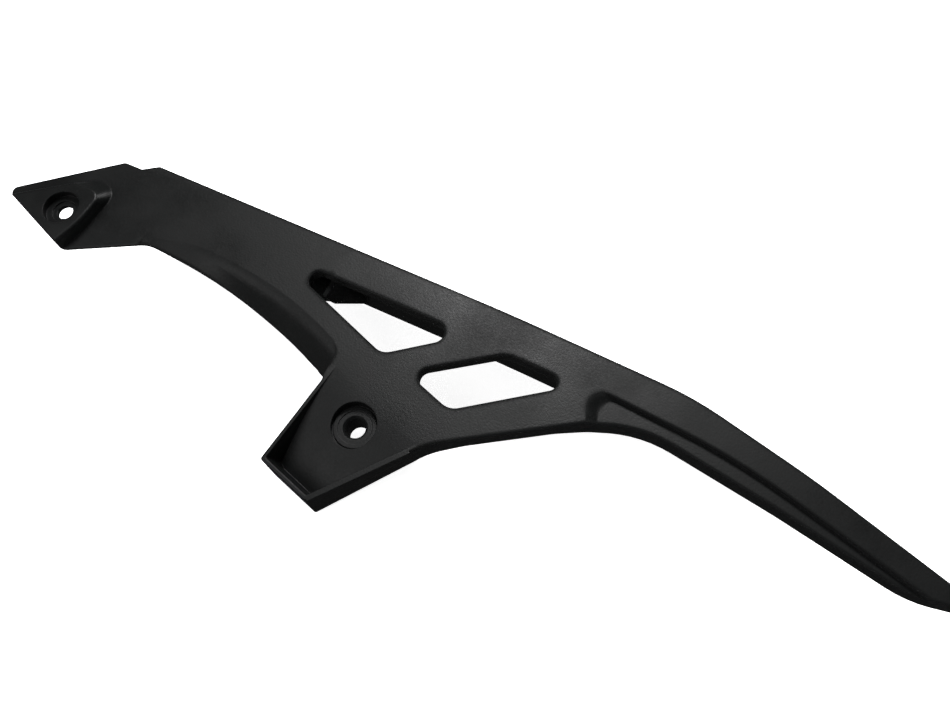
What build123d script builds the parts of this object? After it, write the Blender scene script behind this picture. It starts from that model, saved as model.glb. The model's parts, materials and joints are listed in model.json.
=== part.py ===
"""Motorcycle chain guard: one black moulding with an ear, a lug and two windows.

Drawn flat: X runs along the straight top edge towards the tail, Y up the outer face, Z out of the face.
X is 0 on the lug bolt, Y is 0 on the top edge, Z is 0 on the outer face. The finished guard is then
laid down as it rests, on the lower edge of its top wall and on the heel of its lug.
"""
import os
from math import atan2, cos, degrees, radians, sin, tan

from build123d import *

# Walls
WALL = 2.5
TOP_WALL_DEPTH = 60.0
EAR_EDGE = 1.2
EAR_EDGE_SETBACK = 2.0
ARM_SKIRT_DEPTH = 14.3
FLANGE_DEPTH = 9.5
ARCH_FLANGE_DEPTH = 14.4
TAIL_FLANGE_DEPTH = 11.0
FLANGE_STEP_FROM = 83.0
FLANGE_STEP_TO = 101.0
SKIRT_STEP_BEFORE = 5.0
SKIRT_STEP_AFTER = 14.0
SKIRT_NECK_R = 30.0
SKIRT_BELLY_R = 40.0
FLANGE_STEP_R = 15.0
FACE_EDGE_R = 0.9

# Top edge and tail
WALL_FRONT_X = -168.5
WALL_FRONT_R = 12.0
CREST_FRONT_R = 2.0
CREST_EASE = (40.0, 0.0)
CREST_EASE_R = 1200.0
CREST_BEND = (133.0, -2.8)
CREST_BEND_R = 150.0
CREST_DROP = (192.0, -16.1)
CREST_DROP_R = 400.0
TAIL_END_X = 262.0
TAIL_END_DROP = 20.3
TAIL_END_HEIGHT = 5.6
TAIL_END_R = 2.0
TAIL_HEEL_RUN = 18.0
TAIL_HEEL_DROP = 3.6
TAIL_HEEL_R = 50.0
TAIL_WAIST = (185.0, -34.7)
TAIL_WAIST_R = 300.0
ARCH = (111.3, -23.7)
ARCH_R = 58.0
WALL_TAPER_X = 60.0
WALL_TAPER_R = 200.0
WALL_BREAK = (168.0, -57.0)
WALL_BREAK_R = 80.0
WALL_REAR_RUN = 22.0
WALL_REAR_DEPTH = 36.0
WALL_REAR_R = 16.0

# Lug
THROAT = (34.7, -75.2)
THROAT_R = 40.0
LUG_HEEL = (-1.1, -121.5)
LUG_TOE = (-30.1, -113.9)
LUG_ROOT = (-24.5, -66.0)
LUG_ROOT_R = 4.0
LUG_CORNER_R = 1.5
LUG_TURN_DEG = 18.4
PAD_START = (-22.5, -63.2)
LUG_RIM = 2.0
LUG_RIM_DRAFT_DEG = 11.0
LUG_TRAY_CORNER_R = 1.2
PAD_FOLD_REACH = 13.4
PAD_FOLD_R = 110.0
PAD_SLOPE_DEG = 22.0
PAD_THICK = 2.8
LUG_TIP_DEPTH = 20.6
LUG_REACH = 49.0
LUG_SPREAD = (12.0, 70.0)
LUG_SKIRT_START = 1.0
LUG_BAND_LENGTH = 50.6
LUG_BAND_STEP = 0.8
LUG_BAND_DROP = 4.5

# Arm and ear
ARM_BELLY = (-80.3, -42.7)
ARM_BELLY_R = 245.0
EAR_NECK_X = -145.3
EAR_NECK_R = 18.0
EAR_HEEL = (-185.3, -64.5)
EAR_HEEL_R = 7.0
EAR_TIP = (-237.3, -46.7)
EAR_TIP_R = 3.5
NOTCH_RUN = 8.0
NOTCH_DROP = 5.5
NOTCH_R = 1.5
SHOULDER_RUN = 11.0
SHOULDER_DROP = 0.1
SHOULDER_R = 4.0

# Raised pad of the ear: its foot on the face, its brow on top and the upright side that both share
EAR_RISE = 8.0
EAR_FOOT = [(-241.5, -55.8), (-194.5, -21.3)]
EAR_FOOT_CORNERS_R = (8.0, 9.5)
EAR_BROW = [(-234.5, -58.0), (-197.4, -31.0)]
EAR_BROW_CORNERS_R = (8.0, 6.0)
EAR_SIDE = [(-181.0, -49.0), (-187.5, -72.0)]
EAR_SIDE_R = 40.0
EAR_SIDE_LEAN = 0.04
EAR_BROW_R = 1.2

# Flank of the arm: station along the guard, fold line, width across and fall
FLANK_START = (-150.0, -36.0, 7.0, 0.3)
FLANK_EARLY = (-108.0, -34.6, 9.5, 5.6)
FLANK_MIDDLE = (-72.0, -40.4, 9.2, 12.5)
FLANK_END = (-25.2, -55.1, 9.5, 14.0)
FLANK_END_R = 6.0
FLANK_FOLD_R = 10.0

# Windows, each corner with its own rounding
FRONT_WINDOW = [((-58.5, -18.5), 4.2), ((27.1, -18.5), 5.7), ((-5.9, -44.5), 8.0), ((-58.5, -27.1), 4.2)]
REAR_WINDOW = [((9.7, -47.8), 5.0), ((48.0, -19.6), 12.0), ((83.5, -20.0), 4.3), ((36.3, -55.8), 9.0)]
WINDOW_RIM = 2.2
WINDOW_RIM_DEPTH = 6.0
WINDOW_EDGE = 0.7
WINDOW_EDGE_DEG = 45.0

# Recess of the tail
RECESS_DEPTH = 2.6
RECESS_FRONT = (87.5, -17.2)
RECESS_FRONT_R = 7.0
RECESS_LEAN = 0.41
RECESS_BEND = (160.4, -21.8)
RECESS_BEND_R = 300.0
RECESS_END_FALL = 0.249
RECESS_RAMP = 5.5
RECESS_DRAFT = 0.6

# Fixings
LUG_BOLT = (0.0, -81.0)
LUG_SEAT_Z = -4.8
LUG_SEAT_D = 22.0
LUG_BORE_D = 9.5
LUG_BOSS_D = 16.0
LUG_BOSS_Z = -18.0
LUG_GROOVE = 0.8
LUG_RING_D = 16.4
LUG_RING_DEPTH = 0.4
LUG_LEAD = 1.2
EAR_BOLT = (-195.0, -46.3)
EAR_SEAT_Z = 4.0
EAR_SEAT_D = 19.2
EAR_STEP_D = 13.0
EAR_STEP_DEPTH = 0.8
EAR_BORE_D = 8.2
EAR_BORE_LENGTH = 2.2
SEAT_WALL = 2.0
SEAT_FLOOR = 2.5

# Gusset and bevel
GUSSET_X = -50.0
GUSSET_THICK = 2.2
GUSSET_FOOT = (-24.0, -20.0)
GUSSET_FOOT_RUN = 5.0
GUSSET_SHORT = 1.0
BEVEL_TAIL_X = -112.0
BEVEL_FACE = 4.3
BEVEL_SIDE = 0.4

# Working clearances of the cutting shapes
PAST = 5.0
HEADROOM = EAR_RISE + PAST
FLANK_LIFT = 0.5
FLANK_FOLD_LIFT = 0.03
FLANK_FOLD_RUN = 10.0
FLANK_OVER = 1.5
FLANK_SHIFT_Y = 0.9
FLANK_SHIFT_Z = 0.7
WINDOW_CLEAR = 1.0
LEAST_R = 0.3
LIFT = 0.1
DEEP = 80.0


def rounded_face(corners):
    """Flat face whose corners are given as (point, radius)."""
    points = [point for point, _ in corners]
    radii = [radius for _, radius in corners]
    return make_face(FilletPolyline(*points, radius=radii, close=True))


def prism(face, top, bottom):
    """Straight block under a flat face, between two heights."""
    return Pos(0, 0, bottom) * extrude(face, amount=top - bottom)


def capped(face, top):
    """Block under a flat face, with its top edge rounded."""
    block = prism(face, top, -DEEP)
    return fillet(block.faces().sort_by(Axis.Z)[-1].edges(), FACE_EDGE_R)


def side_block(corners, y_from, y_to):
    """Block whose side view (X, Z) is given, reaching from one Y to the other."""
    face = rounded_face(corners)
    block = extrude(Plane.XZ * face, amount=y_to - y_from)
    return Pos(0, y_to, 0) * block


def crest_corners():
    """Corners of the top edge from the front of the wall to the end of the tail."""
    return [
        ((WALL_FRONT_X, 0.0), CREST_FRONT_R),
        (CREST_EASE, CREST_EASE_R),
        (CREST_BEND, CREST_BEND_R),
        (CREST_DROP, CREST_DROP_R),
        ((TAIL_END_X, CREST_DROP[1] - TAIL_END_DROP), TAIL_END_R),
    ]


def outline_corners():
    """Corners of the outer edge, from the ear over the top to the tail and back along the lower edge."""
    notch_x = WALL_FRONT_X - NOTCH_RUN
    tip_low = CREST_DROP[1] - TAIL_END_DROP - TAIL_END_HEIGHT
    return [
        (EAR_TIP, EAR_TIP_R),
        ((notch_x - SHOULDER_RUN, -NOTCH_DROP - SHOULDER_DROP), SHOULDER_R),
        ((notch_x, -NOTCH_DROP), NOTCH_R),
        *crest_corners(),
        ((TAIL_END_X, tip_low), TAIL_END_R),
        ((TAIL_END_X - TAIL_HEEL_RUN, tip_low - TAIL_HEEL_DROP), TAIL_HEEL_R),
        (TAIL_WAIST, TAIL_WAIST_R),
        (ARCH, ARCH_R),
        (THROAT, THROAT_R),
        (LUG_HEEL, LUG_CORNER_R),
        (LUG_TOE, LUG_CORNER_R),
        (LUG_ROOT, LUG_ROOT_R),
        (ARM_BELLY, ARM_BELLY_R),
        ((EAR_NECK_X, ARM_BELLY[1]), EAR_NECK_R),
        (EAR_HEEL, EAR_HEEL_R),
    ]


def inset_corners(corners, inset):
    """Same corners with every side moved inward, and their roundings kept concentric."""
    moved = []
    for i, (point, radius) in enumerate(corners):
        here = Vector(*point)
        ahead = (Vector(*corners[(i + 1) % len(corners)][0]) - here).normalized()
        behind = (here - Vector(*corners[i - 1][0])).normalized()
        bend = behind.cross(ahead).Z
        inward = Vector(ahead.Y + behind.Y, -ahead.X - behind.X)
        inward = inward * (inset / (1 + behind.dot(ahead)))
        rounding = radius + inset if bend > 0 else max(radius - inset, LEAST_R)
        moved.append(((here.X + inward.X, here.Y + inward.Y), rounding))
    return moved


def lug_plane():
    """Plane across the lug: its X runs from the root down to the tip, its Y out of the face."""
    turn = radians(LUG_TURN_DEG)
    down = (-sin(turn), -cos(turn), 0.0)
    return Plane(origin=(*PAD_START, 0.0), x_dir=down, z_dir=(down[1], -down[0], 0.0))


def over_pad(depth):
    """Space over the sloping pad of the lug, lowered by a depth."""
    fall = tan(radians(PAD_SLOPE_DEG)) * (DEEP - PAD_FOLD_REACH)
    profile = lug_plane() * rounded_face([
        ((-DEEP, LIFT - depth), 0.0),
        ((PAD_FOLD_REACH, LIFT - depth), PAD_FOLD_R),
        ((DEEP, LIFT - depth - fall), 0.0),
        ((DEEP, PAST), 0.0),
        ((-DEEP, PAST), 0.0),
    ])
    return extrude(profile, amount=DEEP, both=True)


def tray_void(depth):
    """Space inside the rim of the lug; with a depth, the space over the underside of the pad."""
    toe, heel = Vector(*LUG_TOE), Vector(*LUG_HEEL)
    left = (Vector(*LUG_ROOT) - toe).normalized()
    right = (Vector(*THROAT) - heel).normalized()
    plan = make_face(Polyline(toe, heel, heel + right * DEEP, toe + left * DEEP, close=True))
    if depth:
        return over_pad(depth) & prism(offset(plan, WALL, kind=Kind.INTERSECTION), PAST, -DEEP)
    plan = offset(plan, -LUG_RIM, kind=Kind.INTERSECTION)
    plan = fillet(plan.vertices(), LUG_TRAY_CORNER_R)
    basin = extrude(plan, amount=-DEEP / 2, taper=LUG_RIM_DRAFT_DEG) + prism(plan, PAST, 0.0)
    return over_pad(0.0) & basin


def lug_band():
    """Shallow proud band along the upper part of the lug's inner side."""
    heel = Vector(*LUG_HEEL)
    along = (Vector(*THROAT) - heel).normalized()
    out = Vector(along.Y, -along.X) * LUG_BAND_STEP
    start = heel + along * LUG_BAND_STEP
    stop = heel + along * LUG_BAND_LENGTH
    plan = make_face(Polyline(start - out, start + out, stop + out, stop - out, close=True))
    return prism(plan, 0.0, -DEEP) & over_pad(LUG_BAND_DROP)


def ear_plan(line, corners_r, inset, height):
    """Closed plan of the ear pad at one height: its sloping line, a level top and the shared upright side."""
    start, top = line
    knee, end = EAR_SIDE
    side_top = (knee[0] + EAR_SIDE_LEAN * (top[1] - knee[1]), top[1])
    corners = [
        (start, 0.0),
        (top, corners_r[0]),
        (side_top, corners_r[1]),
        (knee, EAR_SIDE_R),
        (end, 0.0),
        ((start[0], end[1]), 0.0),
    ]
    return Pos(0, 0, height) * rounded_face(inset_corners(corners, inset))


def ear_pad(outline, inset):
    """Raised pad of the ear, banked towards the top edge and upright where it meets the outer edge."""
    foot = ear_plan(EAR_FOOT, EAR_FOOT_CORNERS_R, inset, -inset)
    brow = ear_plan(EAR_BROW, EAR_BROW_CORNERS_R, inset, EAR_RISE - inset)
    pad = loft([foot, brow], ruled=True) + extrude(foot, amount=-2 * FACE_EDGE_R)
    pad &= prism(outline, HEADROOM, -DEEP)
    if inset:
        return pad
    rim = Pos(0, 0, EAR_RISE) * outline.wires()[0]
    top = pad.faces().sort_by(Axis.Z)[-1].edges()
    pad = fillet([edge for edge in top if rim.distance_to(edge.center()) > LIFT], EAR_BROW_R)
    return pad & capped(outline, EAR_RISE)


def recess_plan(ramp, draft):
    """Plan of the recess, with its front end and its step moved in by a ramp and a draft."""
    far_x = TAIL_END_X + PAST
    front_x, front_y = RECESS_FRONT
    bend_x, bend_y = RECESS_BEND
    end_y = bend_y - RECESS_END_FALL * (far_x - bend_x)
    return rounded_face([
        ((front_x + ramp + RECESS_LEAN * (DEEP + front_y), -DEEP), 0.0),
        ((front_x + ramp, front_y - draft), RECESS_FRONT_R),
        ((bend_x, bend_y - draft), RECESS_BEND_R),
        ((far_x, end_y - draft), 0.0),
        ((far_x, -DEEP), 0.0),
    ])


def recess_void(depth):
    """Lowered band along the under edge of the tail, let down from the face by a ramp."""
    floor = Pos(0, 0, -RECESS_DEPTH) * recess_plan(RECESS_RAMP, RECESS_DRAFT)
    brim = recess_plan(0.0, 0.0)
    void = loft([floor, brim], ruled=True) + extrude(brim, amount=PAST)
    return Pos(-depth, depth, -depth) * void


def flank_section(station):
    """Cross-section of the space outside the flank, with a soft fold where it leaves the face."""
    x, fold_y, width, fall = station
    lean = width / fall
    foot_y = fold_y - width - lean * FLANK_OVER
    low = -fall - FLANK_OVER
    face = rounded_face([
        ((fold_y + FLANK_FOLD_RUN, FLANK_FOLD_LIFT), 0.0),
        ((fold_y + lean * FLANK_FOLD_LIFT, FLANK_FOLD_LIFT), FLANK_FOLD_R),
        ((foot_y, low), 0.0),
        ((foot_y - FLANK_OVER, low), 0.0),
        ((foot_y - FLANK_OVER, FLANK_LIFT), 0.0),
        ((fold_y + FLANK_FOLD_RUN, FLANK_LIFT), 0.0),
    ])
    return Plane(origin=(x, 0, 0), x_dir=(0, 1, 0), z_dir=(1, 0, 0)) * face


def flank_void(depth):
    """Space outside the folded-down lower side of the arm, with a rounded end at the lug."""
    stations = [FLANK_START, FLANK_EARLY, FLANK_MIDDLE, FLANK_END]
    void = loft([flank_section(station) for station in stations])
    end_x, end_y = FLANK_END[:2]
    start_x = FLANK_START[0] - PAST
    plan = rounded_face([
        ((start_x, 0.0), 0.0),
        ((FLANK_MIDDLE[0], 0.0), 0.0),
        ((end_x, end_y + FLANK_OVER), FLANK_END_R),
        ((end_x, -2 * DEEP), 0.0),
        ((start_x, -2 * DEEP), 0.0),
    ])
    void &= prism(plan, PAST, -DEEP)
    return Pos(depth, FLANK_SHIFT_Y * depth, -FLANK_SHIFT_Z * depth) * void


def form(inset):
    """Outer form of the moulding, or the hollow inside it."""
    corners = outline_corners()
    if inset:
        corners = inset_corners(corners, inset)
    outline = rounded_face(corners)
    block = prism(outline, -inset, -DEEP) if inset else capped(outline, 0.0)
    block += ear_pad(outline, inset)
    block -= tray_void(PAD_THICK if inset else 0.0)
    block -= recess_void(inset)
    block -= flank_void(inset)
    return block


def skirt_limits():
    """Everything above the lower edge of the skirts."""
    front_x = EAR_TIP[0] - PAST
    rear_x = TAIL_END_X + PAST
    low = side_block([
        ((front_x, HEADROOM), 0.0),
        ((front_x, -EAR_EDGE), 0.0),
        ((EAR_NECK_X, -EAR_EDGE), SKIRT_NECK_R),
        ((FLANK_MIDDLE[0], -ARM_SKIRT_DEPTH), SKIRT_BELLY_R),
        ((THROAT[0] - SKIRT_STEP_BEFORE, -ARM_SKIRT_DEPTH), FLANGE_STEP_R),
        ((THROAT[0] + SKIRT_STEP_AFTER, -FLANGE_DEPTH), FLANGE_STEP_R),
        ((FLANGE_STEP_FROM, -FLANGE_DEPTH), FLANGE_STEP_R),
        ((FLANGE_STEP_TO, -ARCH_FLANGE_DEPTH), FLANGE_STEP_R),
        ((rear_x, -TAIL_FLANGE_DEPTH), 0.0),
        ((rear_x, HEADROOM), 0.0),
    ], -2 * DEEP, PAST)
    reach = LUG_REACH + 2 * PAST
    fall = (LUG_TIP_DEPTH - ARM_SKIRT_DEPTH) * reach / LUG_REACH
    lug = lug_plane() * make_face(Polyline(
        (-LUG_SKIRT_START, PAST),
        (-LUG_SKIRT_START, -ARM_SKIRT_DEPTH),
        (reach, -ARM_SKIRT_DEPTH - fall),
        (reach, PAST),
        close=True,
    ))
    left, right = LUG_SPREAD
    plate = prism(rounded_face(inset_corners(outline_corners(), EAR_EDGE_SETBACK)), 0.0, -WALL)
    return low + plate + extrude(lug, amount=left) + extrude(lug, amount=-right)


def crest_line(drop):
    """Top edge as one smooth line, let down by a drop, ending short of the rounded tail end."""
    corners = crest_corners()
    points = [point for point, _ in corners]
    radii = [radius for _, radius in corners[1:-1]]
    (back_x, back_y), (end_x, end_y) = points[-2:]
    share = 1 - WALL / (end_x - back_x)
    points[-1] = (back_x + (end_x - back_x) * share, back_y + (end_y - back_y) * share)
    return FilletPolyline(*[(x, y - drop) for x, y in points], radius=radii)


def top_wall_limits():
    """Space that keeps the deep wall under the top edge, cut away towards the tail."""
    edge, back = crest_line(-LIFT), crest_line(WALL + LIFT)
    ends = [Line(edge @ 0, back @ 0), Line(edge @ 1, back @ 1)]
    band = make_face([*edge.edges(), *back.edges(), *ends])
    side = side_block([
        ((WALL_FRONT_X - PAST, HEADROOM), 0.0),
        ((WALL_FRONT_X, -TOP_WALL_DEPTH), WALL_FRONT_R),
        ((WALL_TAPER_X, -TOP_WALL_DEPTH), WALL_TAPER_R),
        (WALL_BREAK, WALL_BREAK_R),
        ((TAIL_END_X - WALL_REAR_RUN, -WALL_REAR_DEPTH), WALL_REAR_R),
        ((TAIL_END_X, -TAIL_FLANGE_DEPTH), 0.0),
        ((TAIL_END_X, HEADROOM), 0.0),
    ], -DEEP, PAST)
    return prism(band, HEADROOM, -TOP_WALL_DEPTH - PAST) & side


def window_rim(corners):
    """Turned-in rim around a window."""
    plan = offset(rounded_face(corners), WINDOW_RIM)
    return prism(plan, -WALL / 2, -WINDOW_RIM_DEPTH)


def window_void(corners):
    """Opening of a window with a broken upper edge."""
    plan = rounded_face(corners)
    flare = Pos(0, 0, -WINDOW_EDGE) * extrude(plan, amount=PAST, taper=-WINDOW_EDGE_DEG)
    return prism(plan, PAST, -WINDOW_RIM_DEPTH - WINDOW_CLEAR) + flare


def gusset():
    """Three-cornered web that ties the front window to the top wall."""
    web = make_face(Polyline(
        (GUSSET_X, -WALL / 2, -WALL / 2),
        (GUSSET_X, -WALL / 2, -TOP_WALL_DEPTH + GUSSET_SHORT),
        (GUSSET_X, GUSSET_FOOT[0], GUSSET_FOOT[1]),
        (GUSSET_X, GUSSET_FOOT[0] - GUSSET_FOOT_RUN, -WALL / 2),
        close=True,
    ))
    return extrude(web, amount=GUSSET_THICK / 2, both=True)


def stub(point, diameter, top, bottom):
    """Upright round bar at a bolt."""
    return Pos(*point, (top + bottom) / 2) * Cylinder(diameter / 2, top - bottom)


def bosses():
    """Cups under the bolt seats and the tube that carries the lug bolt."""
    lug_cup = stub(LUG_BOLT, LUG_SEAT_D + 2 * SEAT_WALL, 0.0, LUG_SEAT_Z - SEAT_FLOOR) - tray_void(0.0)
    lug_tube = stub(LUG_BOLT, LUG_BOSS_D, LUG_SEAT_Z - WALL / 2, LUG_BOSS_Z)
    ear_cup = stub(EAR_BOLT, EAR_SEAT_D + 2 * SEAT_WALL, EAR_RISE - WALL / 2, ear_bore_end())
    return lug_cup + lug_tube + ear_cup


def ear_bore_end():
    """Lower end of the short bore in the ear."""
    return EAR_SEAT_Z - EAR_STEP_DEPTH - EAR_BORE_LENGTH


def bolt_holes():
    """Seats, steps and bores of the two fixings, with a fine groove round the seat of the lug."""
    lug = stub(LUG_BOLT, LUG_SEAT_D, PAST, LUG_SEAT_Z)
    lug += stub(LUG_BOLT, LUG_BORE_D, PAST, LUG_BOSS_Z - PAST)
    lug += stub(LUG_BOLT, LUG_RING_D, PAST, LUG_SEAT_Z - LUG_RING_DEPTH)
    lead_z = LUG_SEAT_Z - LUG_RING_DEPTH - LUG_LEAD / 2
    lug += Pos(*LUG_BOLT, lead_z) * Cone(LUG_BORE_D / 2, LUG_BORE_D / 2 + LUG_LEAD, LUG_LEAD)
    seat = stub(LUG_BOLT, LUG_SEAT_D - 2 * LUG_GROOVE, LUG_SEAT_Z, LUG_SEAT_Z - PAST)
    lug += stub(LUG_BOLT, LUG_SEAT_D, PAST, LUG_SEAT_Z - LUG_GROOVE) - seat
    ear = stub(EAR_BOLT, EAR_SEAT_D, HEADROOM, EAR_SEAT_Z)
    ear += stub(EAR_BOLT, EAR_STEP_D, HEADROOM, EAR_SEAT_Z - EAR_STEP_DEPTH)
    ear += stub(EAR_BOLT, EAR_BORE_D, HEADROOM, ear_bore_end() - PAST)
    return lug + ear


def bevel_section(x):
    """Three-cornered cut at one place along the bevel."""
    share = (BEVEL_TAIL_X - x) / (BEVEL_TAIL_X - WALL_FRONT_X)
    lean = BEVEL_FACE / BEVEL_SIDE
    return make_face(Polyline(
        (x, -BEVEL_FACE * share - lean * PAST, PAST),
        (x, PAST, -BEVEL_SIDE * share - PAST / lean),
        (x, PAST, PAST),
        close=True,
    ))


def bevel():
    """Wedge taken off the front of the top edge, running out to nothing towards the tail."""
    return loft([bevel_section(WALL_FRONT_X - PAST), bevel_section(BEVEL_TAIL_X + PAST)], ruled=True)


def guard():
    """The whole moulding, drawn flat."""
    body = (form(0.0) - form(WALL)) & (skirt_limits() + top_wall_limits())
    body += window_rim(FRONT_WINDOW) + window_rim(REAR_WINDOW)
    body += gusset() + lug_band() + bosses()
    body -= window_void(FRONT_WINDOW) + window_void(REAR_WINDOW)
    body -= bolt_holes() + bevel()
    return body


def laid_down(body):
    """Tilts the guard onto its top wall and lug, with the middle of its footprint at the origin."""
    rise = TOP_WALL_DEPTH - LUG_TIP_DEPTH
    tilt = degrees(atan2(rise, -LUG_HEEL[1] - WALL))
    body = Rot(X=tilt) * body
    box = body.bounding_box()
    return Pos(-(box.min.X + box.max.X) / 2, -(box.min.Y + box.max.Y) / 2, -box.min.Z) * body


os.makedirs("parts", exist_ok=True)
chain_guard = laid_down(guard())
chain_guard.label = "chain_guard"
export_step(chain_guard, "parts/chain_guard.step")
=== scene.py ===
import json
from collections import namedtuple
from math import radians

import bpy
import numpy as np
from bpy.props import FloatProperty, FloatVectorProperty, PointerProperty
from mathutils import Matrix, Vector


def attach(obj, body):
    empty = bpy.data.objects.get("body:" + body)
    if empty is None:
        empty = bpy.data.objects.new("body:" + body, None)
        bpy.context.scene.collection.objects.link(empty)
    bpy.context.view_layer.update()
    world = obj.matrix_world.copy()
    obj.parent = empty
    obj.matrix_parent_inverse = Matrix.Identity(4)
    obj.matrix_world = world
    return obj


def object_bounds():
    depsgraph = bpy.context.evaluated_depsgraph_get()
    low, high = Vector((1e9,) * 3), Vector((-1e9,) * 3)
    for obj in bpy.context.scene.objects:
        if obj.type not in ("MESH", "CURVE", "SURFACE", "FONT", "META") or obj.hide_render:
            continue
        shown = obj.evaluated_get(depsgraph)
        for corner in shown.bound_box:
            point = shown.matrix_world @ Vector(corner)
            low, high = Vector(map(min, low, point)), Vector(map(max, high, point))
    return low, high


bl_info = {
    "name": "Chain guard",
    "version": (1, 0, 0),
    "blender": (4, 5, 0),
    "location": "3D View > Sidebar > Chain guard",
    "description": "Dresses a moulded motorcycle chain guard and sets it on a pale studio floor",
    "category": "Object",
}

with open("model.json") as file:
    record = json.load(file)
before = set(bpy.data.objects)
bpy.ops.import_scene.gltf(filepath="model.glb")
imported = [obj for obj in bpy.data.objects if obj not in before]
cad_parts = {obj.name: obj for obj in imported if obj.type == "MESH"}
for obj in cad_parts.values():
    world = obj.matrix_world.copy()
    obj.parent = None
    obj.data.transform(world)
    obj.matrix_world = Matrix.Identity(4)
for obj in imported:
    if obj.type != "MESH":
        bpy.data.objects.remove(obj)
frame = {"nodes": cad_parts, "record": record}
CAD_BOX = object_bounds()
LUG_BORE = next(mount for mount in frame["record"]["mounts"] if mount["name"] == "lug_bore")
MM = 0.001
SENSOR_WIDTH_MM = 36.0

# A zone's middle and its reach in each direction are in millimetres from the lug bolt: along the
# guard, up its face and out of its face. Its core is the share of the reach where it is in full.
Zone = namedtuple("Zone", "middle reach core")
RECESS_FRONT = Zone((91.0, 58.0, 11.0), (10.0, 11.0, 8.0), 0.6)
FLANK_START = Zone((-150.0, 42.5, 12.0), (8.0, 8.0, 5.0), 0.6)
LUG_SEAT = Zone((0.0, 0.0, 7.0), (12.5, 12.5, 12.5), 0.95)
EAR_SEAT = Zone((-195.0, 34.7, 16.0), (11.5, 11.5, 11.5), 0.95)
LUG_RIM = Zone((-5.0, -14.0, 8.0), (42.0, 42.0, 42.0), 0.9)
EAR_RIDGE = Zone((-205.0, 36.0, 12.0), (64.0, 64.0, 64.0), 0.9)
GUSSET = Zone((-50.0, 59.0, 0.2), (5.0, 12.0, 15.0), 0.8)

# Fold between face and lug pad: a point on its line in the same millimetres, the line's turn in the
# face, the jump of the slope across it, and where it sets in along the line, in reaches of the fold
PAD_FOLD_AT = (-21.5, 20.9, 12.2)
PAD_FOLD_TURN = radians(18.4)
PAD_FOLD_JUMP = 0.0427
PAD_FOLD_START = (-0.6, -0.1)

# Polypropylene, and how much of its gloss the grain leaves
PLASTIC_IOR = 1.49
PLASTIC_SPECULAR = 0.17

# Skin of the moulding: depth and strength of its relief, the part of each noise that is used, and
# how far the roughness goes up and down with it
GRAIN_DEPTH_MM = 0.12
GRAIN_STRENGTH = 0.6
GRAIN_NOISE = (0.3, 0.7)
GRAIN_ROUGHNESS = 0.06
RIPPLE_DEPTH_MM = 0.2
RIPPLE_STRENGTH = 0.15
CLOUD_NOISE = (0.35, 0.65)
CLOUD_ROUGHNESS = 0.08
CLOUD_SEED = 5.0
BEVEL_SAMPLES = 8

# Dull line on sharp edges: cosine of the edge's turn where it is full and where it ends, and the
# roughness that the line and the gusset add
LINE_FULL = 0.955
LINE_END = 0.992
LINE_DULL = 0.7
GUSSET_DULL = 0.55

PAPER_ROUGHNESS = 0.9
PAPER_SPECULAR = 0.1
PAPER_FLAT_RINGS = 9
PAPER_BEND_RINGS = 16
PAPER_BEND_START = 0.1
PAPER_SPOKES = 72
RIB_ROWS = 15
RIB_EDGE_POINTS = 13

# Brightness of the room by the rise of a direction, from -1 straight down to 1 straight up
ROOM_STOPS = (
    (-0.7, "room_under"),
    (-0.35, "room_low"),
    (-0.12, "room_low"),
    (0.0, "room_level"),
    (0.2, "room_level"),
    (0.7, "room_above"),
)


def linear(hex_colour):
    """Linear red, green and blue of an sRGB hex colour."""
    parts = [int(hex_colour[i:i + 2], 16) / 255 for i in (1, 3, 5)]
    return tuple(c / 12.92 if c <= 0.04045 else ((c + 0.055) / 1.055) ** 2.4 for c in parts)


def add_node(tree, kind, settings=None, inputs=None):
    """New node with its settings; an input is a value for the socket or an output to link to it."""
    node = tree.nodes.new(kind)
    for name, value in (settings or {}).items():
        setattr(node, name, value)
    for name, value in (inputs or {}).items():
        if isinstance(value, bpy.types.NodeSocket):
            tree.links.new(value, node.inputs[name])
        else:
            node.inputs[name].default_value = value
    return node


def per_metre(size_mm):
    """Noise scale whose grains are about the given size."""
    return 1 / (size_mm * MM)


def guard_axes():
    """Directions along the guard, up its face and out of its face, as the columns of a matrix."""
    out = Vector(LUG_BORE["axis"]).normalized()
    along = Vector((1.0, 0.0, 0.0))
    return Matrix((along, out.cross(along), out)).transposed()


def from_bolt(offset_mm):
    """Point at an offset in millimetres from the lug bolt, in the guard's own directions."""
    return Vector(LUG_BORE["pos_m"]) + guard_axes() @ (Vector(offset_mm) * MM)


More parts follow.
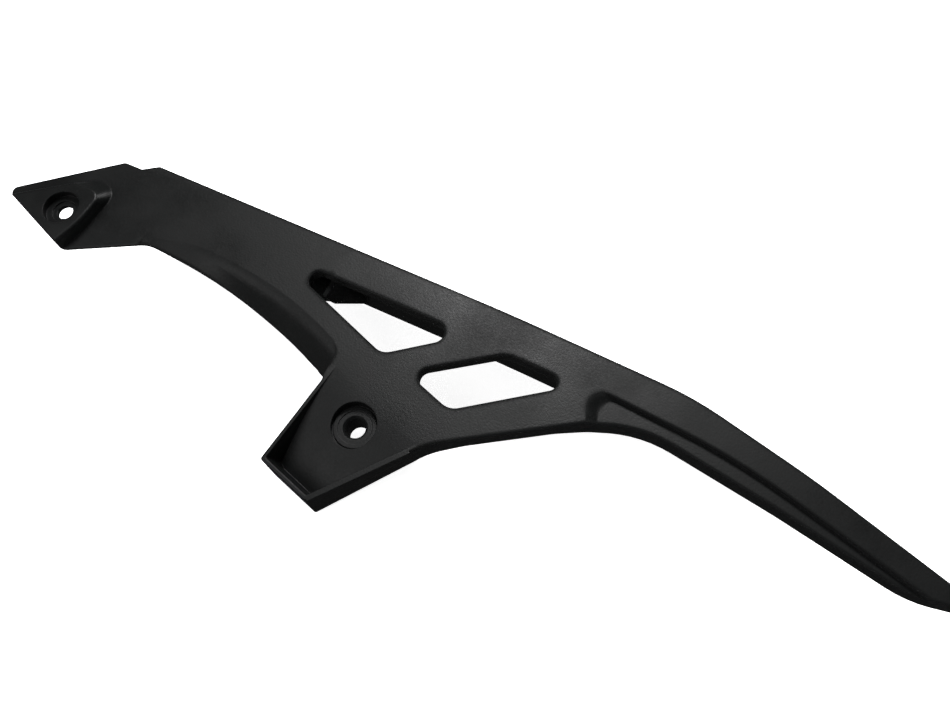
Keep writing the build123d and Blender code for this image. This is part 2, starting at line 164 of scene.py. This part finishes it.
class GuardFinish(bpy.types.PropertyGroup):
    """Colour and grain of the moulded plastic."""

    plastic: FloatVectorProperty(
        name="Plastic", description="Colour of the black plastic", subtype="COLOR", size=3,
        default=linear("#080909"))
    plastic_worn: FloatVectorProperty(
        name="Dulled plastic", description="Colour where the skin of the plastic is dulled",
        subtype="COLOR", size=3, default=linear("#0c0d0d"))
    roughness: FloatProperty(
        name="Roughness", description="Mean roughness of the moulded skin", default=0.45,
        min=0.0, max=1.0)
    edge_mm: FloatProperty(
        name="Edge rounding", description="Reach of the softened edges in millimetres",
        default=0.8, min=0.0)
    seat_mm: FloatProperty(
        name="Seat rounding",
        description="Reach of the softened edges of the bolt seats in millimetres",
        default=0.4, min=0.0)
    end_mm: FloatProperty(
        name="End rounding",
        description="Reach of the softened ends of recess and flank in millimetres",
        default=5.0, min=0.0)
    fold_mm: FloatProperty(
        name="Fold reach", description="Reach of the fold between face and lug pad in millimetres",
        default=10.0, min=1.0)
    line_mm: FloatProperty(
        name="Edge line", description="Reach of the dull line along sharp edges in millimetres",
        default=3.0, min=0.1)
    grain_mm: FloatProperty(
        name="Grain", description="Width of one grain of the mould texture in millimetres",
        default=0.9, min=0.1)
    ripple_mm: FloatProperty(
        name="Ripple", description="Width of the soft unevenness of the skin in millimetres",
        default=9.0, min=1.0)
    cloud_mm: FloatProperty(
        name="Clouds", description="Width of the dulled patches in millimetres", default=40.0,
        min=5.0)


class GuardRib(bpy.types.PropertyGroup):
    """Rib that closes the guard's section in front of the front window."""

    place: FloatProperty(
        name="Place", description="Middle of the rib from the lug bolt, along the guard",
        default=-0.0605, unit="LENGTH")
    thick: FloatProperty(
        name="Thickness", description="Thickness of the rib", default=0.0022, min=0.0005,
        unit="LENGTH")
    top_reach: FloatProperty(
        name="Reach at the face", description="Width of the rib where it meets the face",
        default=0.0355, min=0.005, unit="LENGTH")
    foot_reach: FloatProperty(
        name="Reach at the foot", description="Width of the rib at its foot", default=0.0070,
        min=0.003, unit="LENGTH")
    top: FloatProperty(
        name="Top", description="Upper end of the rib inside the face, out from the lug bolt",
        default=0.0108, unit="LENGTH")
    foot: FloatProperty(
        name="Foot", description="Lower end of the rib, out from the lug bolt", default=-0.0430,
        unit="LENGTH")
    root: FloatProperty(
        name="Root",
        description="Middle of the top wall that the rib grows from, up from the lug bolt",
        default=0.0798, unit="LENGTH")


class GuardStudio(bpy.types.PropertyGroup):
    """Floor, lights and camera."""

    floor_colour: FloatVectorProperty(
        name="Paper", description="Colour of the background paper", subtype="COLOR", size=3,
        default=linear("#f6f6f6"))
    floor_glow: FloatProperty(
        name="Paper glow", description="Light that shines through the paper from behind",
        default=0.85, min=0.0)
    floor_radius: FloatProperty(
        name="Floor radius", description="Radius of the flat part of the paper", default=2.0,
        min=1.0, unit="LENGTH")
    floor_bend: FloatProperty(
        name="Paper bend", description="Radius of the bend where the paper turns up", default=1.2,
        min=0.1, unit="LENGTH")
    key_power: FloatProperty(
        name="Overhead power", description="Power of the overhead softbox", default=17.6, min=0.0,
        unit="POWER")
    key_place: FloatVectorProperty(
        name="Overhead place", description="Middle of the overhead softbox",
        subtype="TRANSLATION", size=3, default=(-0.24, 0.36, 1.12))
    key_width: FloatProperty(
        name="Overhead width", description="Side of the overhead softbox", default=0.42, min=0.1,
        unit="LENGTH")
    fill_power: FloatProperty(
        name="Front power", description="Power of the front softbox", default=9.6, min=0.0,
        unit="POWER")
    fill_place: FloatVectorProperty(
        name="Front place", description="Middle of the front softbox", subtype="TRANSLATION",
        size=3, default=(-0.62, -0.98, 0.82))
    fill_width: FloatProperty(
        name="Front width", description="Side of the front softbox", default=1.1, min=0.1,
        unit="LENGTH")
    rear_power: FloatProperty(
        name="Rear power", description="Power of the rear softbox", default=12.0, min=0.0,
        unit="POWER")
    rear_place: FloatVectorProperty(
        name="Rear place", description="Middle of the rear softbox", subtype="TRANSLATION",
        size=3, default=(0.40, 1.30, 0.45))
    rear_width: FloatProperty(
        name="Rear width", description="Side of the rear softbox", default=0.7, min=0.1,
        unit="LENGTH")
    room_under: FloatProperty(
        name="Room below", description="Brightness that the moulding mirrors from below",
        default=0.045, min=0.0)
    room_low: FloatProperty(
        name="Room low", description="Brightness that it mirrors from the floor around it",
        default=0.22, min=0.0)
    room_level: FloatProperty(
        name="Room at eye level", description="Brightness that it mirrors from the sides",
        default=0.04, min=0.0)
    room_above: FloatProperty(
        name="Room above", description="Brightness that it mirrors from above", default=0.12,
        min=0.0)
    lens: FloatProperty(
        name="Lens", description="Focal length in millimetres on a 36 mm wide sensor",
        default=34.1, min=10.0)
    eye: FloatVectorProperty(
        name="Eye",
        description="Camera from the lug bolt: along the guard, up its face, out of its face",
        subtype="TRANSLATION", size=3, default=(0.140, -0.089, 0.3922))
    aim: FloatVectorProperty(
        name="Aim", description="Middle of the picture from the lug bolt, in the same directions",
        subtype="TRANSLATION", size=3, default=(0.035, 0.0538, 0.0122))
    roll: FloatProperty(
        name="Roll", description="Turn of the camera about its line of sight", subtype="ANGLE",
        default=radians(10.0))


def by_zone(tree, place, zone, inside, outside):
    """Value that is the inner one in a zone's core and fades to the outer one at its reach."""
    spot = add_node(tree, "ShaderNodeMapping", {"vector_type": "TEXTURE"}, {
        "Vector": place, "Location": from_bolt(zone.middle),
        "Rotation": guard_axes().to_euler(), "Scale": Vector(zone.reach) * MM})
    away = add_node(tree, "ShaderNodeVectorMath", {"operation": "LENGTH"}, {
        0: spot.outputs["Vector"]})
    return add_node(tree, "ShaderNodeMapRange", inputs={
        "Value": away.outputs["Value"], "From Min": zone.core, "From Max": 1.0,
        "To Min": inside, "To Max": outside}).outputs["Result"]


def edge_reach(tree, place, finish):
    """Reach of the softened edges: wide at the front of the recess and of the flank, which run out
    softly, and small in the turned bolt seats."""
    reach = finish.edge_mm * MM
    for zone in (RECESS_FRONT, FLANK_START):
        reach = by_zone(tree, place, zone, finish.end_mm * MM, reach)
    for zone in (LUG_SEAT, EAR_SEAT):
        reach = by_zone(tree, place, zone, finish.seat_mm * MM, reach)
    return reach


def pad_fold(tree, place, finish, normal):
    """Rounds the fold between face and lug pad: a dip of jump * reach / 4 * (1 - |u| / reach) ^ 2
    at the distance u from the fold line, whose slope turns the light as a smooth bend would."""
    turned = guard_axes() @ Matrix.Rotation(-PAD_FOLD_TURN, 3, "Z")
    reach = finish.fold_mm * MM
    local = add_node(tree, "ShaderNodeMapping", {"vector_type": "TEXTURE"}, {
        "Vector": place, "Location": from_bolt(PAD_FOLD_AT), "Rotation": turned.to_euler(),
        "Scale": (reach, reach, reach)})
    parts = add_node(tree, "ShaderNodeSeparateXYZ", inputs={"Vector": local.outputs["Vector"]})
    side = add_node(tree, "ShaderNodeMath", {"operation": "ABSOLUTE"}, {0: parts.outputs["Y"]})
    close = add_node(tree, "ShaderNodeMapRange", inputs={
        "Value": side.outputs["Value"], "From Min": 0.0, "From Max": 1.0,
        "To Min": 1.0, "To Max": 0.0})
    bowl = add_node(tree, "ShaderNodeMath", {"operation": "POWER"}, {
        0: close.outputs["Result"], 1: 2.0})
    begin = add_node(tree, "ShaderNodeMapRange", inputs={
        "Value": parts.outputs["X"], "From Min": PAD_FOLD_START[0],
        "From Max": PAD_FOLD_START[1], "To Min": 0.0, "To Max": 1.0})
    dip = add_node(tree, "ShaderNodeMath", {"operation": "MULTIPLY"}, {
        0: bowl.outputs["Value"], 1: begin.outputs["Result"]})
    return add_node(tree, "ShaderNodeBump", {"invert": True}, {
        "Height": dip.outputs["Value"], "Strength": 1.0, "Distance": PAD_FOLD_JUMP * reach / 4,
        "Normal": normal}).outputs["Normal"]


def added_dullness(tree, place, finish):
    """Roughness added along sharp edges, where the mould's parting line leaves a dull dark line,
    and all over the gusset behind the front window. The lug's rim and the ear's ridge are rubbed
    bright and have no such line."""
    rounded = add_node(tree, "ShaderNodeBevel", {"samples": BEVEL_SAMPLES}, {
        "Radius": finish.line_mm * MM})
    plain = add_node(tree, "ShaderNodeNewGeometry").outputs["Normal"]
    turn = add_node(tree, "ShaderNodeVectorMath", {"operation": "DOT_PRODUCT"}, {
        0: rounded.outputs["Normal"], 1: plain})
    line = add_node(tree, "ShaderNodeMapRange", inputs={
        "Value": turn.outputs["Value"], "From Min": LINE_FULL, "From Max": LINE_END,
        "To Min": LINE_DULL, "To Max": 0.0}).outputs["Result"]
    for zone in (LUG_RIM, EAR_RIDGE):
        line = by_zone(tree, place, zone, 0.0, line)
    gusset = by_zone(tree, place, GUSSET, GUSSET_DULL, 0.0)
    return add_node(tree, "ShaderNodeMath", {"operation": "ADD"}, {
        0: line, 1: gusset}).outputs["Value"]


def moulded_polypropylene(finish):
    """Black polypropylene, injection moulded in a spark-eroded mould: a matt skin whose fine grain
    breaks the reflection of the lamps into a soft grey bloom, with cloudy patches that are a little
    duller. A real grain is about 0.2 mm wide, and is drawn coarser so that it shows."""
    material = bpy.data.materials.new("black polypropylene, spark-grained moulding")
    material.use_nodes = True
    tree = material.node_tree
    tree.nodes.clear()
    place = add_node(tree, "ShaderNodeTexCoord").outputs["Object"]
    clouds = add_node(tree, "ShaderNodeTexNoise", {"noise_dimensions": "4D"}, {
        "Vector": place, "W": CLOUD_SEED, "Scale": per_metre(finish.cloud_mm), "Detail": 3.0,
        "Roughness": 0.6}).outputs["Fac"]
    grain = add_node(tree, "ShaderNodeTexNoise", inputs={
        "Vector": place, "Scale": per_metre(finish.grain_mm), "Detail": 2.0,
        "Roughness": 0.55}).outputs["Fac"]
    ripple = add_node(tree, "ShaderNodeTexNoise", inputs={
        "Vector": place, "Scale": per_metre(finish.ripple_mm), "Detail": 1.0}).outputs["Fac"]
    colour = add_node(tree, "ShaderNodeMix", {"data_type": "RGBA"}, {
        "Factor": clouds, "A": (*finish.plastic, 1.0), "B": (*finish.plastic_worn, 1.0)})
    grained = add_node(tree, "ShaderNodeMapRange", inputs={
        "Value": grain, "From Min": GRAIN_NOISE[0], "From Max": GRAIN_NOISE[1],
        "To Min": finish.roughness - GRAIN_ROUGHNESS,
        "To Max": finish.roughness + GRAIN_ROUGHNESS})
    patchy = add_node(tree, "ShaderNodeMapRange", inputs={
        "Value": clouds, "From Min": CLOUD_NOISE[0], "From Max": CLOUD_NOISE[1],
        "To Min": -CLOUD_ROUGHNESS, "To Max": CLOUD_ROUGHNESS})
    open_face = add_node(tree, "ShaderNodeMath", {"operation": "ADD"}, {
        0: grained.outputs["Result"], 1: patchy.outputs["Result"]})
    rough = add_node(tree, "ShaderNodeMath", {"operation": "ADD"}, {
        0: open_face.outputs["Value"], 1: added_dullness(tree, place, finish)})
    edge = add_node(tree, "ShaderNodeBevel", {"samples": BEVEL_SAMPLES}, {
        "Radius": edge_reach(tree, place, finish)})
    soft = add_node(tree, "ShaderNodeBump", inputs={
        "Height": ripple, "Strength": RIPPLE_STRENGTH, "Distance": RIPPLE_DEPTH_MM * MM,
        "Normal": pad_fold(tree, place, finish, edge.outputs["Normal"])})
    fine = add_node(tree, "ShaderNodeBump", inputs={
        "Height": grain, "Strength": GRAIN_STRENGTH, "Distance": GRAIN_DEPTH_MM * MM,
        "Normal": soft.outputs["Normal"]})
    skin = add_node(tree, "ShaderNodeBsdfPrincipled", inputs={
        "Base Color": colour.outputs["Result"], "Roughness": rough.outputs["Value"],
        "IOR": PLASTIC_IOR, "Specular IOR Level": PLASTIC_SPECULAR,
        "Normal": fine.outputs["Normal"]})
    add_node(tree, "ShaderNodeOutputMaterial", inputs={"Surface": skin.outputs["BSDF"]})
    return material


def background_paper(studio):
    """Matt white paper, lit a little from behind: an even pale ground with no gloss and only soft
    shadows."""
    material = bpy.data.materials.new("white background paper, matt")
    material.use_nodes = True
    skin = material.node_tree.nodes["Principled BSDF"]
    skin.inputs["Base Color"].default_value = (*studio.floor_colour, 1.0)
    skin.inputs["Roughness"].default_value = PAPER_ROUGHNESS
    skin.inputs["Specular IOR Level"].default_value = PAPER_SPECULAR
    skin.inputs["Emission Color"].default_value = (1.0, 1.0, 1.0, 1.0)
    skin.inputs["Emission Strength"].default_value = studio.floor_glow
    return material


def paper_sweep(studio, level):
    """Round sheet that turns up into a wall, in an angle a and a run s along its profile: up to the
    flat radius f the profile is (s, 0), and beyond it follows a quarter circle of radius b with the
    turn t = (s - f) / b, as (f + b sin t, b (1 - cos t)); the point is then turned about Z by a."""
    flat, bend = studio.floor_radius, studio.floor_bend
    turned_up = np.linspace(PAPER_BEND_START, np.pi / 2, PAPER_BEND_RINGS)
    run = np.concatenate([np.linspace(0.0, flat, PAPER_FLAT_RINGS), flat + bend * turned_up])
    turn = np.maximum(run - flat, 0.0) / bend
    radius = np.minimum(run, flat) + bend * np.sin(turn)
    height = level + bend * (1 - np.cos(turn))
    angle = np.linspace(0.0, 2 * np.pi, PAPER_SPOKES, endpoint=False)
    points = np.stack([
        radius * np.cos(angle)[:, None],
        radius * np.sin(angle)[:, None],
        np.tile(height, (angle.size, 1)),
    ], axis=-1).reshape(-1, 3)
    here = np.arange(angle.size)[:, None] * run.size + np.arange(run.size - 1)
    ahead = np.roll(here, -1, axis=0)
    faces = np.stack([here, here + 1, ahead + 1, ahead], axis=-1).reshape(-1, 4)
    mesh = bpy.data.meshes.new("paper")
    mesh.from_pydata(points.tolist(), [], faces.tolist())
    mesh.shade_smooth()
    paper = bpy.data.objects.new("paper", mesh)
    bpy.context.scene.collection.objects.link(paper)
    return paper


def front_rib(rib):
    """Upright rib between face and top wall, in a height h from 0 at the face to 1 at the foot and
    a turn a along its outline: the outline leaves the wall at (t, 0), rounds its free edge as
    (t cos a, t - r - t sin a) and comes back to (-t, 0), with t half the thickness and the reach r
    falling evenly with h."""
    half = rib.thick / 2
    height = np.linspace(0.0, 1.0, RIB_ROWS)[:, None]
    reach = rib.top_reach + (rib.foot_reach - rib.top_reach) * height
    turn = np.linspace(0.0, np.pi, RIB_EDGE_POINTS)
    along = np.concatenate([[half], half * np.cos(turn), [-half]]) + np.zeros_like(height)
    edge = half - reach - half * np.sin(turn)
    up = np.concatenate([np.zeros_like(height), edge, np.zeros_like(height)], axis=1)
    out = rib.top + (rib.foot - rib.top) * height + np.zeros_like(along)
    local = np.stack([rib.place + along, rib.root + up, out], axis=-1).reshape(-1, 3)
    points = local @ np.array(guard_axes()).T + np.array(LUG_BORE["pos_m"])
    rows, ring = along.shape
    here = np.arange(rows - 1)[:, None] * ring + np.arange(ring)
    aside = np.roll(here, -1, axis=1)
    faces = np.stack([here, aside, aside + ring, here + ring], axis=-1).reshape(-1, 4).tolist()
    faces += [np.arange(ring)[::-1].tolist(), np.arange((rows - 1) * ring, rows * ring).tolist()]
    mesh = bpy.data.meshes.new("front_rib")
    mesh.from_pydata(points.tolist(), [], faces)
    piece = bpy.data.objects.new("front_rib", mesh)
    bpy.context.scene.collection.objects.link(piece)
    return piece


class GUARD_OT_dress_moulding(bpy.types.Operator):
    """Gives the moulding its grained black skin"""

    bl_idname = "guard.dress_moulding"
    bl_label = "Dress the moulding"

    def execute(self, context):
        moulding = frame["nodes"]["chain_guard"]
        skin = moulded_polypropylene(context.scene.guard_finish)
        moulding.data.materials.clear()
        moulding.data.materials.append(skin)
        return {"FINISHED"}


class GUARD_OT_add_rib(bpy.types.Operator):
    """Adds the rib that closes the section in front of the front window"""

    bl_idname = "guard.add_rib"
    bl_label = "Add the front rib"

    def execute(self, context):
        piece = front_rib(context.scene.guard_rib)
        piece.data.materials.append(frame["nodes"]["chain_guard"].data.materials[0])
        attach(piece, "root")
        return {"FINISHED"}


class GUARD_OT_set_stage(bpy.types.Operator):
    """Lays the floor and places the lights and the camera"""

    bl_idname = "guard.set_stage"
    bl_label = "Set the stage"

    def execute(self, context):
        studio = context.scene.guard_studio
        paper = paper_sweep(studio, CAD_BOX[0][2])
        paper.data.materials.append(background_paper(studio))
        paper.visible_glossy = False
        self.light(context, studio)
        self.camera(context, studio)
        return {"FINISHED"}

    def light(self, context, studio):
        """A softbox overhead, a weaker one in front, one for the back and a dim room."""
        self.softbox(
            context, "overhead softbox", studio.key_place, studio.key_width, studio.key_power)
        self.softbox(
            context, "front softbox", studio.fill_place, studio.fill_width, studio.fill_power)
        self.softbox(
            context, "rear softbox", studio.rear_place, studio.rear_width, studio.rear_power)
        context.scene.world = self.room(studio)
        context.scene.view_settings.view_transform = "Standard"

    def room(self, studio):
        """Surround that the moulding mirrors: dark straight below, where it shades the floor, paler
        further out, dark at eye level and dim above."""
        world = bpy.data.worlds.new("studio room")
        world.use_nodes = True
        tree = world.node_tree
        way = add_node(tree, "ShaderNodeTexCoord").outputs["Generated"]
        rise = add_node(tree, "ShaderNodeSeparateXYZ", inputs={"Vector": way}).outputs["Z"]
        share = add_node(tree, "ShaderNodeMapRange", inputs={
            "Value": rise, "From Min": -1.0, "From Max": 1.0, "To Min": 0.0, "To Max": 1.0})
        ramp = add_node(tree, "ShaderNodeValToRGB", inputs={"Fac": share.outputs["Result"]})
        # A new ramp has a stop at each end; it must never be empty, so the second goes last
        colours = ramp.color_ramp.elements
        colours.remove(colours[0])
        for height, name in ROOM_STOPS:
            level = getattr(studio, name)
            stop = colours.new((height + 1) / 2)
            stop.color = (level, level, level, 1.0)
        colours.remove(colours[-1])
        tree.links.new(ramp.outputs["Color"], tree.nodes["Background"].inputs["Color"])
        return world

    def softbox(self, context, name, place, width, power):
        """Square lamp that faces the middle of the floor."""
        lamp = bpy.data.lights.new(name, "AREA")
        lamp.energy = power
        lamp.size = width
        box = bpy.data.objects.new(name, lamp)
        box.location = place
        box.rotation_euler = (-Vector(place)).to_track_quat("-Z", "Y").to_euler()
        context.scene.collection.objects.link(box)

    def camera(self, context, studio):
        """Camera at the eye point, turned to the aim point and rolled about its line of sight."""
        axes = guard_axes()
        bolt = Vector(LUG_BORE["pos_m"])
        eye = bolt + axes @ Vector(studio.eye)
        sight = (bolt + axes @ Vector(studio.aim) - eye).normalized()
        level = sight.cross(axes.col[2]).normalized()
        turned = Matrix.Rotation(studio.roll, 3, sight) @ level
        lens = bpy.data.cameras.new("camera")
        lens.sensor_width = SENSOR_WIDTH_MM
        lens.lens = studio.lens
        camera = bpy.data.objects.new("camera", lens)
        turn = Matrix((turned, turned.cross(sight), -sight)).transposed()
        camera.matrix_world = Matrix.Translation(eye) @ turn.to_4x4()
        context.scene.collection.objects.link(camera)
        context.scene.camera = camera


class GUARD_PT_sidebar(bpy.types.Panel):
    """Lists the settings and the steps of the chain guard"""

    bl_idname = "GUARD_PT_sidebar"
    bl_label = "Chain guard"
    bl_space_type = "VIEW_3D"
    bl_region_type = "UI"
    bl_category = "Chain guard"

    def draw(self, context):
        scene = context.scene
        for group in (scene.guard_finish, scene.guard_rib, scene.guard_studio):
            for name in group.__annotations__:
                self.layout.prop(group, name)
        for step in STEPS:
            self.layout.operator(step.bl_idname)


STEPS = (GUARD_OT_dress_moulding, GUARD_OT_add_rib, GUARD_OT_set_stage)
CLASSES = (GuardFinish, GuardRib, GuardStudio, *STEPS, GUARD_PT_sidebar)


def register():
    """Registers the classes and hangs the settings on the scene."""
    for item in CLASSES:
        bpy.utils.register_class(item)
    bpy.types.Scene.guard_finish = PointerProperty(type=GuardFinish)
    bpy.types.Scene.guard_rib = PointerProperty(type=GuardRib)
    bpy.types.Scene.guard_studio = PointerProperty(type=GuardStudio)


def unregister():
    """Takes the settings and the classes away again."""
    del bpy.types.Scene.guard_studio
    del bpy.types.Scene.guard_rib
    del bpy.types.Scene.guard_finish
    for item in reversed(CLASSES):
        bpy.utils.unregister_class(item)


def main():
    """Dresses the guard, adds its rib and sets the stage."""
    register()
    bpy.ops.guard.dress_moulding()
    bpy.ops.guard.add_rib()
    bpy.ops.guard.set_stage()


if __name__ == "__main__":
    main()
